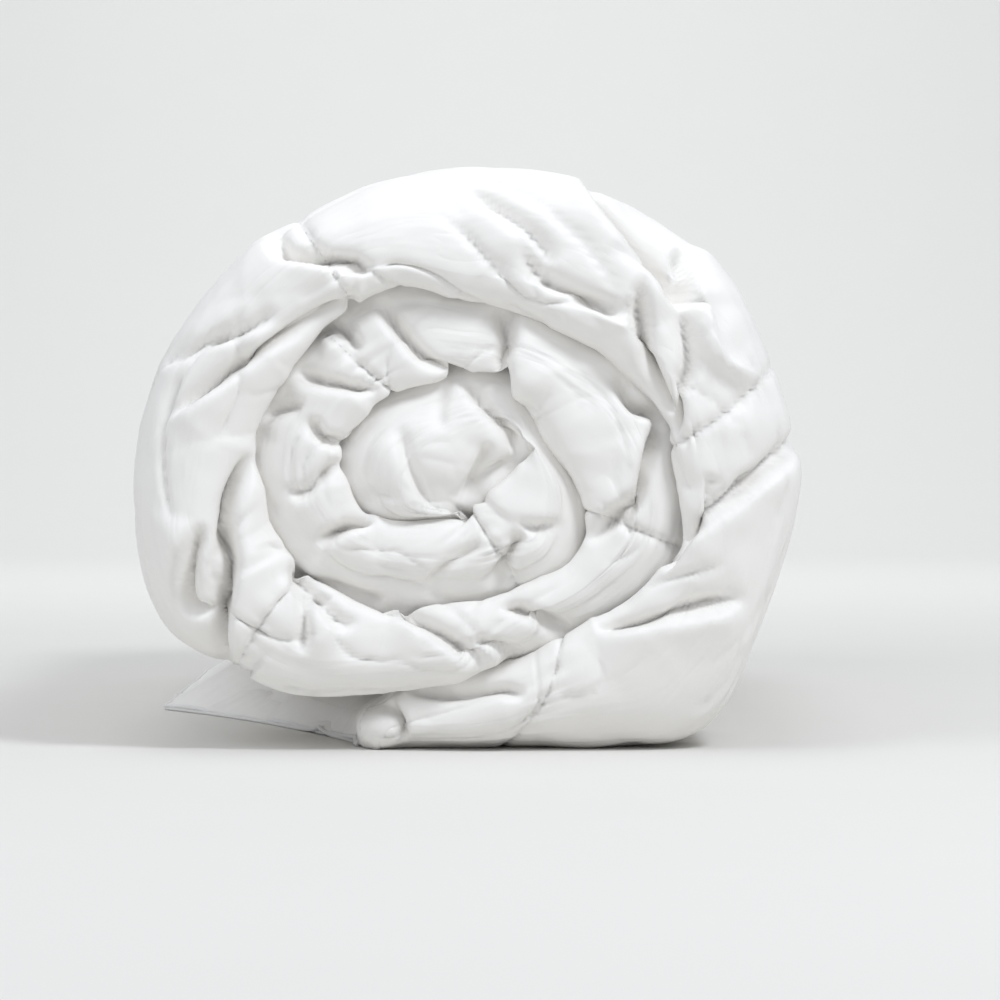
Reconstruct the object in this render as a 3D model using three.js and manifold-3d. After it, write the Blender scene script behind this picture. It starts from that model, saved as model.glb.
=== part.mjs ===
// A down duvet, 1400 mm wide and 2000 mm long, folded once along its length and rolled up.
// The roll lies on a flat surface with the fold facing the front (-Y) and the two long hems at the back.
// Its outer end lies under the roll as a flat flap, whose hem shows at the left.
//
// The folded duvet is a strip of two arms, the outer one and the inner one. Each arm holds down between
// the outer cover and the inner cover, in boxes made by tapes that stand between the covers. The strip
// winds around the core, so a place in it has three measures:
//   k  the winding, counted inwards from the foot hem in eighths of a turn,
//   y  the depth behind the fold,
//   r  the distance from the core's axis, given from the strip's inner, middle or outer radius there.
// Units are millimetres, +Z up.
import * as THREE from "three";
import { mergeVertices } from "three/addons/utils/BufferGeometryUtils.js";
import Module from "manifold-3d";

const wasm = await Module();
wasm.setup();

// --- Driving dimensions -------------------------------------------------------------------------
const DEPTH = 700; // half of the duvet's width, from the fold to the hems
const CORE_HEIGHT = 177; // of the core's axis above the floor
const STEPS_PER_TURN = 8; // k grows by this in one turn
const CORE_END = 26; // k of the head hem, at the core
// The strip's outer radius at every whole k, from the foot hem inwards. The floor cuts the first two.
const RADII = [
  260, 230, 217, 206, 189, 178, 185, 206, // outermost turn: under, right, over the top, left
  197, 126, 126, 127, 106, 101, 122, 132, // second turn
  111, 86, 86, 52, 42, 49, 71, 76, //        third turn
  54, 38, 30, //                             core
];
const CORE_BORE = 3; // smallest radius of the innermost turn
const FOOT_DIRECTION = 225; // degrees, of the foot hem seen from the core's axis
const FLAP_EDGE = 14; // height of the flap at the foot hem
const FLAP_END = 0.5; // k where the flap's end starts
const HEAD_EDGE = 12; // least thickness of the strip at the head hem
const SEAMS = [1.35, 3.25, 5.8, 7.85, 10.5, 14, 17.5]; // k of the cross seams

const CLOTH = 0.8; // thickness of covers and tapes
const GAP = 0.3; // between pieces that touch
const FOLD_DEPTH = 36; // how far the rounding of the fold reaches back
const HEM_TAPER = 55; // how far in front of the hems the arms start to thin
const BOX = 280; // size of a down box across the duvet
const LONG_SEAMS = [BOX / 2 - 10, BOX / 2 - 10 + BOX]; // y of the lengthwise seams
const PIPING = 3.2; // thickness of the piped edge
const LAP = 0.6; // clearance of a slot where two tapes cross
const FACETS_PER_STEP = 2;

// --- Where the strip lies -----------------------------------------------------------------------
const toRad = THREE.MathUtils.degToRad;
const directionAt = (k) => toRad(FOOT_DIRECTION + (360 / STEPS_PER_TURN) * k);
const LEAST_FALL = 1e-3; // a ray that falls less than this never meets the floor
const floorRadius = (k) => CORE_HEIGHT / Math.max(LEAST_FALL, -Math.sin(directionAt(k)));

// The outer radius at k, smooth through RADII, and cut off by the floor.
function smoothRadius(k) {
  const at = THREE.MathUtils.clamp(k, 0, RADII.length - 1);
  const i = Math.min(Math.floor(at), RADII.length - 2);
  const t = at - i;
  const [a, b, c, d] = [-1, 0, 1, 2].map((n) => RADII[THREE.MathUtils.clamp(i + n, 0, RADII.length - 1)]);
  const curve = 0.5 * (2 * b + (c - a) * t + (2 * a - 5 * b + 4 * c - d) * t * t + (3 * b - a - 3 * c + d) * t ** 3);
  return Math.min(Math.max(curve, CORE_BORE), floorRadius(k));
}

// The windings where the strip has a facet edge. They repeat each turn, so that one turn's facets lie
// on the next one's.
const STATIONS = (() => {
  const inTurn = new Set(SEAMS.map((k) => k % STEPS_PER_TURN));
  for (let i = 0; i < STEPS_PER_TURN * FACETS_PER_STEP; i++) inTurn.add(i / FACETS_PER_STEP);
  const all = [];
  for (let turn = 0; turn * STEPS_PER_TURN <= CORE_END + STEPS_PER_TURN; turn++) {
    for (const k of inTurn) all.push(turn * STEPS_PER_TURN + k);
  }
  return all.sort((a, b) => a - b);
})();

// The distance at which the ray at k meets the straight line between two points of the section.
function rayMeets(k, [ax, az], [bx, bz]) {
  const [dx, dz] = [Math.cos(directionAt(k)), Math.sin(directionAt(k))];
  return (ax * (bz - az) - az * (bx - ax)) / (dx * (bz - az) - dz * (bx - ax));
}

const sectionPoint = (k, r) => [r * Math.cos(directionAt(k)), r * Math.sin(directionAt(k))];

const SAME = 1e-9; // windings nearer than this are the same

// The outer radius at k on the flat facets between stations.
function facetRadius(k) {
  const i = STATIONS.findIndex((s) => s > k + SAME);
  const [from, to] = [STATIONS[i - 1], STATIONS[i]];
  if (k - from < SAME) return smoothRadius(from);
  return rayMeets(k, sectionPoint(from, smoothRadius(from)), sectionPoint(to, smoothRadius(to)));
}

// The inner radius at k. There the strip rests on the next turn, or has the bore inside the last one.
// The flap's end slopes away from the next turn down to the foot hem.
function innerRadius(k) {
  const resting = (at) => (at + STEPS_PER_TURN > CORE_END ? CORE_BORE : facetRadius(at + STEPS_PER_TURN)) + GAP;
  if (k >= FLAP_END) return Math.min(resting(k), facetRadius(k) - HEAD_EDGE);
  const [x, z] = sectionPoint(0, floorRadius(0));
  return rayMeets(k, [x, z + FLAP_EDGE], sectionPoint(FLAP_END, resting(FLAP_END)));
}

const radiiAt = (k) => {
  const [inner, outer] = [innerRadius(k), facetRadius(k)];
  return { middle: (inner + outer) / 2, half: (outer - inner) / 2 };
};

// --- Solids -------------------------------------------------------------------------------------
// A closed solid that follows the strip. ring is a list of points [y, radii => r], and windings the k
// of each section.
function loft(ring, windings) {
  const sections = windings.map((k) => {
    const radii = radiiAt(k);
    return ring.map(([y, rule]) => ({ k, y, r: rule(radii) }));
  });
  const outline = (section) => section.map(({ r, y }) => new THREE.Vector2(r, y));
  if (THREE.ShapeUtils.isClockWise(outline(sections[0]))) sections.forEach((section) => section.reverse());

  const positions = sections.flat().flatMap(({ k, y, r }) => {
    const [x, z] = sectionPoint(k, r);
    return [x, y, z];
  });
  const faces = [];
  const n = ring.length;
  for (let s = 0; s + 1 < sections.length; s++) {
    for (let i = 0; i < n; i++) {
      const next = (i + 1) % n;
      const [a, b] = [s * n + i, s * n + next];
      // The diagonal starts at the point nearer the fold, so that pieces that touch bend alike.
      const fromA = sections[s][i].y < sections[s][next].y;
      faces.push(...(fromA ? [a, b, b + n, a, b + n, a + n] : [a, b, a + n, b, b + n, a + n]));
    }
  }
  const last = (sections.length - 1) * n;
  for (const [a, b, c] of THREE.ShapeUtils.triangulateShape(outline(sections[0]), [])) faces.push(c, b, a);
  for (const [a, b, c] of THREE.ShapeUtils.triangulateShape(outline(sections.at(-1)), [])) {
    faces.push(last + a, last + b, last + c);
  }
  return new THREE.BufferGeometry()
    .setAttribute("position", new THREE.Float32BufferAttribute(positions, 3))
    .setIndex(faces);
}

const LEAST_FACET = 0.02; // k, so that no facet is a sliver

// The stations between two windings, with both of them.
const windingsBetween = (from, to) => {
  const inside = STATIONS.filter((k) => k > from + LEAST_FACET && k < to - LEAST_FACET);
  return [from, ...inside, to];
};

// An angle in k that is so many millimetres long at the strip's middle there.
const stepOf = (mm, k) => mm / (radiiAt(k).middle * toRad(360 / STEPS_PER_TURN));

const WELD = 1e-4; // points nearer than this are joined

// Cuts each cutter out of a geometry.
function cut(geometry, cutters) {
  const toSolid = (g) => {
    const bare = new THREE.BufferGeometry().setAttribute("position", g.getAttribute("position")).setIndex(g.index);
    const merged = mergeVertices(bare, WELD);
    return new wasm.Manifold(
      new wasm.Mesh({
        numProp: 3,
        vertProperties: new Float32Array(merged.attributes.position.array),
        triVerts: new Uint32Array(merged.index.array),
      }),
    );
  };
  const made = cutters.reduce((solid, cutter) => solid.subtract(toSolid(cutter)), toSolid(geometry)).getMesh();
  return new THREE.BufferGeometry()
    .setAttribute("position", new THREE.Float32BufferAttribute(made.vertProperties, 3))
    .setIndex(new THREE.BufferAttribute(new Uint32Array(made.triVerts), 1));
}

// --- Sections -----------------------------------------------------------------------------------
// A side of the strip as a sign: the outer arm lies outside the strip's middle, the inner arm inside.
const ARMS = { outer: 1, inner: -1 };
const LAYER = CLOTH + GAP; // what a cover takes with the gap behind it
const MIDDLE = GAP / 2 + LAYER; // from the strip's middle to the down

const faceOf = (side, inset) => (b) => b.middle + side * (b.half - inset); // under the outer cover
const middleOf = (side, offset) => (b) => b.middle + side * offset; // beside the strip's middle
const armCentre = (side, offset = 0) => (b) => b.middle + side * (b.half / 2 + MIDDLE / 2 - LAYER / 2 + offset);

// The fold's rounding at an inset, from one arm's straight stretch to the other's.
function foldArc(inset, segments = 4) {
  const points = [];
  for (let i = 0; i <= segments; i++) {
    const turn = (Math.PI * i) / segments;
    const y = FOLD_DEPTH - (FOLD_DEPTH - inset) * Math.sin(turn);
    points.push([y, (b) => b.middle + (b.half - inset) * Math.cos(turn)]);
  }
  return points;
}

const HEM = DEPTH - PIPING - GAP; // where the covers end
const SHOULDER = HEM - HEM_TAPER;
const FILLED = 0.6; // of the taper has down in it
const THINNED = SHOULDER + FILLED * HEM_TAPER; // where the down ends

// A surface through the taper at the hem, from one radius to another, as far as the down goes.
const taper = (from, to) => [
  [SHOULDER, from],
  [THINNED, (b) => from(b) + FILLED * (to(b) - from(b))],
];

// The outer cover, one layer round the fold, with its edges at the hems.
function outerCoverRing() {
  const edge = (side, inset) => armCentre(side, GAP / 2 + CLOTH - inset);
  const half = (side, inset) => [...taper(faceOf(side, inset), edge(side, inset)), [HEM, edge(side, inset)]];
  const surface = (inset) => [...half(1, inset).reverse(), ...foldArc(inset), ...half(-1, inset)];
  return [...surface(0), ...surface(CLOTH).reverse()];
}

// The inner cover, folded onto itself along the strip's middle.
function innerCoverRing() {
  const edge = (side, inset) => armCentre(side, -GAP / 2 - CLOTH + inset);
  const half = (side, inset) => [
    [FOLD_DEPTH + MIDDLE - inset, middleOf(side, GAP / 2 + inset)],
    ...taper(middleOf(side, GAP / 2 + inset), edge(side, inset)),
    [HEM, edge(side, inset)],
  ];
  const surface = (inset) => [...half(1, inset).reverse(), ...half(-1, inset)];
  return [...surface(0), ...surface(CLOTH).reverse()];
}

const TAPE_SIDE = CLOTH / 2 + GAP; // from a tape's middle to the down beside it

// The down box that wraps round the fold.
function foldFillRing() {
  const back = LONG_SEAMS[0] - TAPE_SIDE;
  const turn = FOLD_DEPTH + MIDDLE - LAYER;
  return [
    [back, faceOf(1, LAYER)],
    ...foldArc(LAYER),
    [back, faceOf(-1, LAYER)],
    [back, middleOf(-1, MIDDLE)],
    [turn, middleOf(-1, MIDDLE)],
    [turn, middleOf(1, MIDDLE)],
    [back, middleOf(1, MIDDLE)],
  ];
}

// A down box in the middle of an arm.
function middleFillRing(side) {
  const [front, back] = [LONG_SEAMS[0] + TAPE_SIDE, LONG_SEAMS[1] - TAPE_SIDE];
  return [
    [front, faceOf(side, LAYER)],
    [back, faceOf(side, LAYER)],
    [back, middleOf(side, MIDDLE)],
    [front, middleOf(side, MIDDLE)],
  ];
}

// A down box at the hem, thinning towards it.
function edgeFillRing(side) {
  const front = LONG_SEAMS[1] + TAPE_SIDE;
  return [
    [front, faceOf(side, LAYER)],
    ...taper(faceOf(side, LAYER), armCentre(side, -GAP / 2)),
    ...taper(middleOf(side, MIDDLE), armCentre(side, GAP / 2)).reverse(),
    [front, middleOf(side, MIDDLE)],
  ];
}

// A tape along the duvet, standing between the covers.
function longBaffleRing(side, y) {
  return [
    [y - CLOTH / 2, faceOf(side, LAYER)],
    [y + CLOTH / 2, faceOf(side, LAYER)],
    [y + CLOTH / 2, middleOf(side, MIDDLE)],
    [y - CLOTH / 2, middleOf(side, MIDDLE)],
  ];
}

// A tape across the duvet: it fills the same room as the down, round the fold, from hem to hem.
function crossBaffleRing() {
  const turn = FOLD_DEPTH + MIDDLE - LAYER;
  return [
    [SHOULDER, faceOf(1, LAYER)],
    ...foldArc(LAYER),
    [SHOULDER, faceOf(-1, LAYER)],
    [SHOULDER, middleOf(-1, MIDDLE)],
    [turn, middleOf(-1, MIDDLE)],
    [turn, middleOf(1, MIDDLE)],
    [SHOULDER, middleOf(1, MIDDLE)],
  ];
}

const PAST_EDGE = 2; // how far a slot's cutter reaches past the tape

// The slot in a tape where another crosses it: the half of the arm that is nearer to the outer cover
// (or to the inner one), between two depths.
function slotRing(side, from, to, nearCover) {
  const centre = (b) => b.middle + (side * (b.half + MIDDLE - LAYER)) / 2;
  const end = nearCover ? faceOf(side, LAYER - PAST_EDGE) : middleOf(side, MIDDLE - PAST_EDGE);
  const inner = nearCover ? (b) => centre(b) - (side * GAP) / 2 : (b) => centre(b) + (side * GAP) / 2;
  return [
    [from, end],
    [to, end],
    [to, inner],
    [from, inner],
  ];
}

// The piping along a long hem.
function sidePipingRing(side) {
  return [
    [DEPTH - PIPING, armCentre(side, PIPING / 2)],
    [DEPTH, armCentre(side, PIPING / 2)],
    [DEPTH, armCentre(side, -PIPING / 2)],
    [DEPTH - PIPING, armCentre(side, -PIPING / 2)],
  ];
}

// The piping along an end hem, which goes round the fold with the covers' edges.
function endPipingRing() {
  const front = FOLD_DEPTH / 2;
  const bend = (side) => (b) => b.middle + (side * b.half) / 4;
  const edge = (inset) => [
    [HEM, armCentre(1, inset)],
    [FOLD_DEPTH, armCentre(1, inset)],
    [front - inset, bend(1)],
    [front - inset, bend(-1)],
    [FOLD_DEPTH, armCentre(-1, inset)],
    [HEM, armCentre(-1, inset)],
  ];
  return [...edge(PIPING / 2), ...edge(-PIPING / 2).reverse()];
}

// --- The pieces ---------------------------------------------------------------------------------
const materials = {
  cover: new THREE.MeshStandardMaterial({ color: 0xf3f3f5, roughness: 0.6 }),
  piping: new THREE.MeshStandardMaterial({ color: 0xf1f1f2, roughness: 0.65 }),
  tape: new THREE.MeshStandardMaterial({ color: 0xecebe6, roughness: 0.8 }),
  down: new THREE.MeshStandardMaterial({ color: 0xf6f4ee, roughness: 0.95 }),
};

const duvet = new THREE.Group();

function addPiece(name, geometry, material) {
  const piece = new THREE.Mesh(geometry, material);
  piece.name = name;
  duvet.add(piece);
}

const PIPE_STEP = stepOf(PIPING, 1);
const HEAD_PIPE_STEP = stepOf(PIPING, CORE_END - 1);
const COVER_START = PIPE_STEP + stepOf(GAP, 1);
const COVER_END = CORE_END - HEAD_PIPE_STEP - stepOf(GAP, CORE_END - 1);
const rowEdges = [COVER_START + stepOf(GAP, 1), ...SEAMS, COVER_END - stepOf(GAP, CORE_END - 1)];

// The covers, each one piece of cloth from the foot hem to the head hem.
const wholeStrip = windingsBetween(COVER_START, COVER_END);
addPiece("outer_cover", loft(outerCoverRing(), wholeStrip), materials.cover);
addPiece("inner_cover", loft(innerCoverRing(), wholeStrip), materials.cover);

// The piped edge: two long sides and two ends.
for (const [arm, side] of Object.entries(ARMS)) {
  addPiece(`side_piping_${arm}`, loft(sidePipingRing(side), windingsBetween(0, CORE_END)), materials.piping);
}
addPiece("foot_piping", loft(endPipingRing(), [0, PIPE_STEP]), materials.piping);
addPiece("head_piping", loft(endPipingRing(), [CORE_END - HEAD_PIPE_STEP, CORE_END]), materials.piping);

// The down, one body of it in each box: eight rows from the foot to the head, five boxes to a row.
const boxRings = {
  outer_edge: edgeFillRing(1),
  outer_middle: middleFillRing(1),
  fold: foldFillRing(),
  inner_middle: middleFillRing(-1),
  inner_edge: edgeFillRing(-1),
};
rowEdges.slice(1).forEach((end, row) => {
  const start = rowEdges[row];
  const clear = (k, sign) => (SEAMS.includes(k) ? k + sign * stepOf(TAPE_SIDE + GAP / 2, k) : k);
  const windings = windingsBetween(clear(start, 1), clear(end, -1));
  for (const [box, ring] of Object.entries(boxRings)) {
    addPiece(`down_row${row + 1}_${box}`, loft(ring, windings), materials.down);
  }
});

// The tapes between the boxes. Where two cross, each has a slot for the other: the long ones in the
// half towards the outer cover, the cross ones in the half towards the inner cover.
const baffleWindings = windingsBetween(rowEdges[0], rowEdges.at(-1));
const HALF_SLOT = CLOTH / 2 + LAP;
for (const [arm, side] of Object.entries(ARMS)) {
  LONG_SEAMS.forEach((y, i) => {
    const slots = SEAMS.map((k) => {
      const half = stepOf(HALF_SLOT, k);
      return loft(slotRing(side, y - PAST_EDGE, y + PAST_EDGE, true), [k - half, k + half]);
    });
    addPiece(`long_tape_${arm}_${i + 1}`, cut(loft(longBaffleRing(side, y), baffleWindings), slots), materials.tape);
  });
}
SEAMS.forEach((k, i) => {
  const [half, reach] = [stepOf(CLOTH / 2, k), stepOf(PAST_EDGE, k)];
  const slots = Object.values(ARMS).flatMap((side) =>
    LONG_SEAMS.map((y) => loft(slotRing(side, y - HALF_SLOT, y + HALF_SLOT, false), [k - reach, k + reach])),
  );
  addPiece(`cross_tape_${i + 1}`, cut(loft(crossBaffleRing(), [k - half, k + half]), slots), materials.tape);
});

// The origin is the middle of the roll's footprint, on the floor.
const box = new THREE.Box3().setFromObject(duvet);
const middle = box.getCenter(new THREE.Vector3());
duvet.position.set(-middle.x, -middle.y, -box.min.z);

export default duvet;
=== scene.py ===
"""A white down duvet, folded once along its length and rolled up, on a plain studio floor.

The folded duvet is a strip that winds around the core. It is drawn in "drawn millimetres": x to the right and
z up from the core's axis, and depth backwards from the foremost point of the roll. A place in the strip has
- a winding k, counted inwards in eighths of a turn from the foot hem at the lower left,
- a depth behind the front of the roll,
- a side, from 1 on the strip's outer arm to -1 on its inner arm. The fold at the front joins the arms.
The cover is a grid of columns along the strip by rows across it. The rows run from the outer arm's hem at the
back, round the fold, to the inner arm's hem.
"""

import math

import bpy
import numpy as np
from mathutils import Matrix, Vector


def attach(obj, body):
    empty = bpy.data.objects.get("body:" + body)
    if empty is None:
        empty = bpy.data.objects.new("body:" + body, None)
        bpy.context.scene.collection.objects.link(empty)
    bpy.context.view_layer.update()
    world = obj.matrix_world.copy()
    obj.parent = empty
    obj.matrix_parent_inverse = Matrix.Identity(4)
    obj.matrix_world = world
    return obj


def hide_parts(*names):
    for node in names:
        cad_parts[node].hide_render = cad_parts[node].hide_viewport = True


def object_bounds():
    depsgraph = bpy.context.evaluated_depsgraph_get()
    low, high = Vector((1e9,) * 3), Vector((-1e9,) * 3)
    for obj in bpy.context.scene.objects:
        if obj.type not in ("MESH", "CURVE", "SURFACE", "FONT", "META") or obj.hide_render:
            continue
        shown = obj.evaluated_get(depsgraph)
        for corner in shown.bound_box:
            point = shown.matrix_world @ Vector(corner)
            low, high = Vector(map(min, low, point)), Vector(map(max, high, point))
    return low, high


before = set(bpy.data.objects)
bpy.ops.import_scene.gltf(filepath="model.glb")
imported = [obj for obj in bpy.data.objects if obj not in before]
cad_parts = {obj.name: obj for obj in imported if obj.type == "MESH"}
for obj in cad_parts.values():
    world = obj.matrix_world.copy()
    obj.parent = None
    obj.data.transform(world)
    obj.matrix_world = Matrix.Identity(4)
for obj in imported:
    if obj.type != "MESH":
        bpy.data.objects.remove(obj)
CAD_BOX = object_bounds()

# --- The frame in drawn millimetres ---
LOW, HIGH = (np.array(corner) for corner in CAD_BOX)
_, DEPTH, HEIGHT = HIGH - LOW
DRAWN_HEIGHT = 355.0
MM = HEIGHT / DRAWN_HEIGHT
AXIS_HEIGHT = 177.0  # of the core's axis above the floor
BINDING_ROOM = 4.0  # between the hems and the back of the frame
BACK = DEPTH / MM - BINDING_ROOM  # depth of the hems
AXIS = np.array([(LOW[0] + HIGH[0]) / 2, LOW[1], LOW[2] + AXIS_HEIGHT * MM])


def to_world(points):
    """Drawn millimetres (x, depth, z) to metres in the frame."""
    return AXIS + np.asarray(points) * MM


# --- Curves ---
def smooth_through(values, at):
    """The smooth curve through values at 0, 1, 2..., read at the places given."""
    at = np.clip(at, 0, len(values) - 1)
    i = np.minimum(at.astype(int), len(values) - 2)
    t = at - i
    a, b, c, d = (values[np.clip(i + n, 0, len(values) - 1)] for n in (-1, 0, 1, 2))
    return 0.5 * (2 * b + (c - a) * t + (2 * a - 5 * b + 4 * c - d) * t**2 + (3 * b - a - 3 * c + d) * t**3)


def rise(x, start, end):
    """0 before start, 1 after end, and smooth between them."""
    t = np.clip((x - start) / (end - start), 0, 1)
    return t * t * (3 - 2 * t)


def distances_along(points):
    """The distance from the first point to each point, along the line through them."""
    return np.concatenate([[0], np.cumsum(np.linalg.norm(np.diff(points, axis=0), axis=1))])


def unit(vectors):
    """The vectors scaled to length 1."""
    return vectors / np.maximum(np.linalg.norm(vectors, axis=-1, keepdims=True), 1e-9)


def evenly(points, count):
    """Points at equal distances along the line through the given ones."""
    run = distances_along(points)
    places = np.linspace(0, run[-1], count)
    return np.stack([np.interp(places, run, column) for column in points.T], axis=1)


# --- Where the strip lies ---
STEPS_PER_TURN = 8
# The strip's outer radius at every half step inwards from k = 1, which is straight under the core. The floor
# cuts the first few.
RADII = np.array([
    222, 228, 219, 204, 201, 190, 191, 187, 178, 179, 184, 195, 204, 210,  # outermost turn
    192, 152, 129, 121, 127, 139, 128, 123, 107, 100, 101, 116, 122, 127, 131, 125,  # second turn
    112, 95, 86, 84, 85, 73, 54, 44, 46, 50, 50, 50, 55, 67, 76, 71,  # third turn
    52, 40, 37, 40, 38,  # core
], dtype=float)
ON_FLOOR_UNTIL = 2.5  # k
LEAST_DROP = 0.3  # of a ray that still counts as reaching the floor
CORNER_SHARPNESS = 24  # of the bend where the strip leaves the floor
HEAD = 25.6  # k of the head hem
CORE_START = HEAD - STEPS_PER_TURN  # from here on no turn lies inside the strip
# The valley in the middle of the core, where its folds meet: (k, x, z).
HOLLOW = np.array([
    (17, -6, -40), (17.6, 1, -31), (18.2, 12, -21), (18.8, 29, -8), (19.3, 47, 0), (20.3, 40, -4),
    (21, 36, -7), (21.6, 28, -12), (22.3, 14, -23), (23.3, 0, -35), (24.6, -5, -40), (26, -6, -42),
])
HEM_AT_FOLD = 0.56  # k of the foot hem at the fold
HEM_AT_CORNER = -0.12  # and at its corner, from which it runs straight back
CORNER_DEPTH = 330.0
FLAP_BLEND = 1.9  # k beyond which columns are not slanted by the foot hem
FLAP_LENGTH = 34.0  # over which the flap rounds off to the foot hem
FLAP_HEM = 4.0  # its height there
FOLD = 52.0  # depth at which the fold's rounding ends
TAPER = 60.0  # length over which an arm rounds off towards its hem at the back
SHOULDER = BACK - TAPER
FOOT_TAPER = 22.0  # the same at the foot hem
HEAD_TAPER = 0.8  # and at the head hem, in k


def direction(k):
    """The unit vector (x, z) from the core's axis at winding k."""
    angle = np.radians(225 + 360 / STEPS_PER_TURN * k)
    return np.stack([np.cos(angle), np.sin(angle)], axis=-1)


def outer_boundary(k):
    """The point (x, z) of the strip's outer side at winding k."""
    ray = direction(k)
    to_floor = AXIS_HEIGHT / np.maximum(-ray[..., 1], LEAST_DROP)
    floor_pull = np.where(k < ON_FLOOR_UNTIL, to_floor, np.inf) ** -CORNER_SHARPNESS
    turn_pull = np.where(k < 1, np.inf, smooth_through(RADII, 2 * (k - 1))) ** -CORNER_SHARPNESS
    return ray * ((floor_pull + turn_pull) ** (-1 / CORNER_SHARPNESS))[..., None]


def in_core(k):
    """1 where the strip's inner side rests on the core's valley, and 0 where it rests on the next turn."""
    return rise(k, CORE_START - 1, CORE_START + 0.2)


def inner_boundary(k):
    """The point (x, z) of the strip's inner side: on the next turn, or at the core's hollow."""
    core = in_core(k)[..., None]
    hollow = np.stack([np.interp(k, HOLLOW[:, 0], HOLLOW[:, i]) for i in (1, 2)], axis=-1)
    return outer_boundary(k + STEPS_PER_TURN) * (1 - core) + hollow * core


K_TABLE = np.linspace(HEM_AT_CORNER, HEAD, 4000)
MIDDLE_LINE = (outer_boundary(K_TABLE) + inner_boundary(K_TABLE)) / 2
# Lengths halfway between those of the strip's middle line and of its outer side.
RUN_TABLE = (distances_along(MIDDLE_LINE) + distances_along(outer_boundary(K_TABLE))) / 2


def run_of(k):
    """Distance in millimetres along the strip from the foot hem to winding k."""
    return np.interp(k, K_TABLE, RUN_TABLE)


# At the front each turn tucks under the lip of the turn outside it: (depth, outward shift of the line where
# they touch). Only the second turn's first stretch goes the other way, over the flap.
TUCK = np.array([(0, -7), (14, -6), (30, 13), (48, 14), (84, 0)])
TUCKS_THE_OTHER_WAY = (7.7, 8.3)  # k over which that starts
TUCKS_UNDER = (8.9, 9.6)  # and over which the usual tuck takes over
TUCK_ENDS = (HEAD + 0.4, HEAD)  # k over which no turn is left to tuck
VALLEY_NORMAL = np.array([0.54, -0.84])  # the way (x, z) in which the core's valley is shifted


def tuck(depth):
    """How far the line where two turns touch is shifted outwards at a depth."""
    return np.interp(depth, TUCK[:, 0], TUCK[:, 1])


def turn_tuck(k, depth):
    """How far the strip's outer side at winding k is shifted outwards at a depth."""
    way = rise(k, *TUCKS_UNDER) - rise(k, *TUCKS_THE_OTHER_WAY) * rise(k, *TUCKS_UNDER[::-1])
    return way * rise(k, *TUCK_ENDS) * tuck(depth)


class Section:
    """The strip's cross-section at each pair of a winding and a depth, two arrays that go together."""

    def __init__(self, k, depth):
        hem = np.interp(depth, [FOLD, CORNER_DEPTH], [HEM_AT_FOLD, HEM_AT_CORNER])
        begun = (k - HEM_AT_CORNER) / (FLAP_BLEND - HEM_AT_CORNER)
        self.k = np.where(begun < 1, hem + begun * (FLAP_BLEND - hem), k)
        self.outer = outer_boundary(self.k)
        from_hem = np.linalg.norm(self.outer - outer_boundary(hem), axis=-1)
        from_hem = np.where(begun < 1, from_hem, FLAP_LENGTH)
        thin = self.outer + np.array([0, FLAP_HEM])
        flap_fullness = np.sqrt(1 - (1 - np.minimum(from_hem / FLAP_LENGTH, 1)) ** 2)
        self.inner = thin + (inner_boundary(self.k) - thin) * flap_fullness[..., None]
        self.flap_fullness = flap_fullness
        past_shoulders = [
            (depth - SHOULDER) / TAPER,
            1 - from_hem / FOOT_TAPER,
            1 - (HEAD - self.k) / HEAD_TAPER,
        ]
        # 1 inside the strip, falling to 0 at its hems like a quarter of an ellipse.
        self.fullness = np.prod([np.sqrt(1 - np.clip(past, 0, 1) ** 2) for past in past_shoulders], axis=0)

    def point(self, depth, side):
        """The points (x, depth, z) at a side of the strip."""
        ray = direction(self.k)
        outer = self.outer + ray * turn_tuck(self.k, depth)[..., None]
        inner = self.inner + ray * (self.flap_fullness * turn_tuck(self.k + STEPS_PER_TURN, depth))[..., None]
        inner = inner + VALLEY_NORMAL * (in_core(self.k) * tuck(depth))[..., None]
        section = inner + (outer - inner) * ((side + 1) / 2)[..., None]
        return np.stack([section[..., 0], depth, section[..., 1]], axis=-1)


# --- The cover's grid ---
LONG_SEAMS = [130.0, 410.0]  # depths of the lengthwise seams
COLUMNS = 881  # one more than a multiple of 4, as rows far back keep only every fourth
FOLD_ROWS = 56
FINE_DEPTH = 80.0  # rows in front of this keep every column
HALF_DEPTH = 180.0  # and rows in front of this every second one
PLAIN_DEPTH = 600.0  # up to which the hidden inner arm needs few rows
SEAM_ROW_STEP = 2.5  # between the three rows at a lengthwise seam
# Rows on the arms: (depth from, depth to, distance between them).
OUTER_ARM_ROWS = [
    (BACK, SHOULDER, 3.5), (SHOULDER, HALF_DEPTH, 8), (HALF_DEPTH, FINE_DEPTH, 6), (FINE_DEPTH, FOLD, 4),
]
INNER_ARM_ROWS = [
    (FOLD, FINE_DEPTH, 5), (FINE_DEPTH, CORNER_DEPTH, 12), (CORNER_DEPTH, PLAIN_DEPTH, 40),
    (PLAIN_DEPTH, SHOULDER, 8), (SHOULDER, BACK, 3.5),
]

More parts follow.
